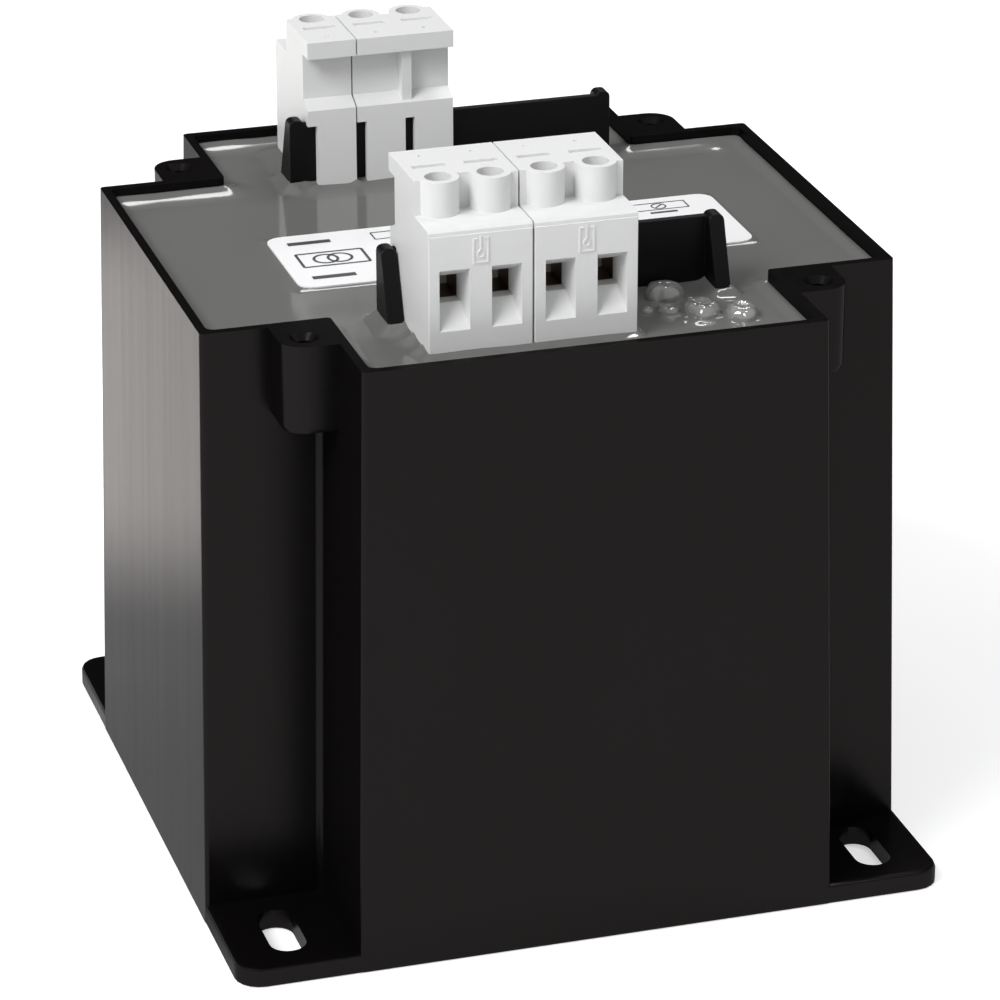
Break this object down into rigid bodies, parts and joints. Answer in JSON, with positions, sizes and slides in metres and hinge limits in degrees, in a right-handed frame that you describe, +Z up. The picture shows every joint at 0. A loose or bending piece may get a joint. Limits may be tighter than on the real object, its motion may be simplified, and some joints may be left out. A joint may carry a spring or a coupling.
{
  "type": "control transformer",
  "caption": "Resin-potted control transformer in a black moulded case with a slotted mounting flange and white lift-clamp screw terminals on top.",
  "frame": {"origin": "middle of the underside of the case, on the mounting surface", "axes": "+Z up out of the case, -Y towards the front row of terminals (four poles), +X to the right"},
  "size_m": [0.1404, 0.1438, 0.1477],
  "materials": {
    "black_plastic": "satin, fine moulded grain",
    "white_plastic": "satin",
    "grey_resin": "glossy cast surface",
    "clear_resin": "clear and glossy",
    "white_label": "smooth printed film",
    "plated_steel": "zinc plated",
    "brass": "tinned or bright",
    "electrical_steel": "dark laminated stack",
    "enamelled_copper": "enamelled wire",
    "natural_nylon": "natural",
    "insulation_paper": "smooth film",
    "lead_sleeve": "sleeved wire"
  },
  "bodies": {
    "base": {"housing": "black_plastic", "core_e_laminations": "electrical_steel", "core_i_laminations": "electrical_steel", "coil_former": "natural_nylon", "primary_winding": "enamelled_copper", "layer_insulation": "insulation_paper", "secondary_winding": "enamelled_copper", "outer_wrap": "insulation_paper", "front_lead_1": "lead_sleeve", "front_lead_2": "lead_sleeve", "front_lead_3": "lead_sleeve", "front_lead_4": "lead_sleeve", "rear_lead_1": "lead_sleeve", "rear_lead_2": "lead_sleeve", "rear_lead_3": "lead_sleeve", "potting_resin": "grey_resin", "rating_label": "white_label", "resin_drop_1": "clear_resin", "resin_drop_2": "clear_resin", "resin_drop_3": "clear_resin", "resin_drop_4": "clear_resin", "front_terminal_holder": "black_plastic", "front_terminal_module_left": "white_plastic", "front_terminal_module_right": "white_plastic", "front_bar_1": "brass", "front_bar_2": "brass", "front_bar_3": "brass", "front_bar_4": "brass", "rear_terminal_holder": "black_plastic", "rear_terminal_module_single": "white_plastic", "rear_terminal_module_double": "white_plastic", "rear_bar_1": "brass", "rear_bar_2": "brass", "rear_bar_3": "brass"},
    "front_screw_1_body": {"front_screw_1": "plated_steel"},
    "front_clamp_1_body": {"front_clamp_1": "plated_steel"},
    "front_screw_2_body": {"front_screw_2": "plated_steel"},
    "front_clamp_2_body": {"front_clamp_2": "plated_steel"},
    "front_screw_3_body": {"front_screw_3": "plated_steel"},
    "front_clamp_3_body": {"front_clamp_3": "plated_steel"},
    "front_screw_4_body": {"front_screw_4": "plated_steel"},
    "front_clamp_4_body": {"front_clamp_4": "plated_steel"},
    "rear_screw_1_body": {"rear_screw_1": "plated_steel"},
    "rear_clamp_1_body": {"rear_clamp_1": "plated_steel"},
    "rear_screw_2_body": {"rear_screw_2": "plated_steel"},
    "rear_clamp_2_body": {"rear_clamp_2": "plated_steel"},
    "rear_screw_3_body": {"rear_screw_3": "plated_steel"},
    "rear_clamp_3_body": {"rear_clamp_3": "plated_steel"}
  },
  "joints": [
    {"name": "front_screw_1_turn", "type": "hinge", "parent": "base", "child": "front_screw_1_body", "pos_m": [-0.02432, -0.0493, 0.1398], "axis": [0, 0, -1], "range_deg": [0, 2160]},
    {"name": "front_clamp_1_lift", "type": "slide", "parent": "base", "child": "front_clamp_1_body", "axis": [0, 0, 1], "range_m": [0, 0.0042]},
    {"name": "front_screw_2_turn", "type": "hinge", "parent": "base", "child": "front_screw_2_body", "pos_m": [-0.01447, -0.0493, 0.1398], "axis": [0, 0, -1], "range_deg": [0, 2160]},
    {"name": "front_clamp_2_lift", "type": "slide", "parent": "base", "child": "front_clamp_2_body", "axis": [0, 0, 1], "range_m": [0, 0.0042]},
    {"name": "front_screw_3_turn", "type": "hinge", "parent": "base", "child": "front_screw_3_body", "pos_m": [-0.00432, -0.0493, 0.1398], "axis": [0, 0, -1], "range_deg": [0, 2160]},
    {"name": "front_clamp_3_lift", "type": "slide", "parent": "base", "child": "front_clamp_3_body", "axis": [0, 0, 1], "range_m": [0, 0.0042]},
    {"name": "front_screw_4_turn", "type": "hinge", "parent": "base", "child": "front_screw_4_body", "pos_m": [0.00553, -0.0493, 0.1398], "axis": [0, 0, -1], "range_deg": [0, 2160]},
    {"name": "front_clamp_4_lift", "type": "slide", "parent": "base", "child": "front_clamp_4_body", "axis": [0, 0, 1], "range_m": [0, 0.0042]},
    {"name": "rear_screw_1_turn", "type": "hinge", "parent": "base", "child": "rear_screw_1_body", "pos_m": [-0.02187, 0.0493, 0.1398], "axis": [0, 0, -1], "range_deg": [0, 2160]},
    {"name": "rear_clamp_1_lift", "type": "slide", "parent": "base", "child": "rear_clamp_1_body", "axis": [0, 0, 1], "range_m": [0, 0.0042]},
    {"name": "rear_screw_2_turn", "type": "hinge", "parent": "base", "child": "rear_screw_2_body", "pos_m": [-0.01172, 0.0493, 0.1398], "axis": [0, 0, -1], "range_deg": [0, 2160]},
    {"name": "rear_clamp_2_lift", "type": "slide", "parent": "base", "child": "rear_clamp_2_body", "axis": [0, 0, 1], "range_m": [0, 0.0042]},
    {"name": "rear_screw_3_turn", "type": "hinge", "parent": "base", "child": "rear_screw_3_body", "pos_m": [-0.00187, 0.0493, 0.1398], "axis": [0, 0, -1], "range_deg": [0, 2160]},
    {"name": "rear_clamp_3_lift", "type": "slide", "parent": "base", "child": "rear_clamp_3_body", "axis": [0, 0, 1], "range_m": [0, 0.0042]}
  ],
  "couplings": [
    {"joint": "front_screw_1_turn", "follows": "front_clamp_1_lift", "rad_per_m": 8976},
    {"joint": "front_screw_2_turn", "follows": "front_clamp_2_lift", "rad_per_m": 8976},
    {"joint": "front_screw_3_turn", "follows": "front_clamp_3_lift", "rad_per_m": 8976},
    {"joint": "front_screw_4_turn", "follows": "front_clamp_4_lift", "rad_per_m": 8976},
    {"joint": "rear_screw_1_turn", "follows": "rear_clamp_1_lift", "rad_per_m": 8976},
    {"joint": "rear_screw_2_turn", "follows": "rear_clamp_2_lift", "rad_per_m": 8976},
    {"joint": "rear_screw_3_turn", "follows": "rear_clamp_3_lift", "rad_per_m": 8976}
  ]
}
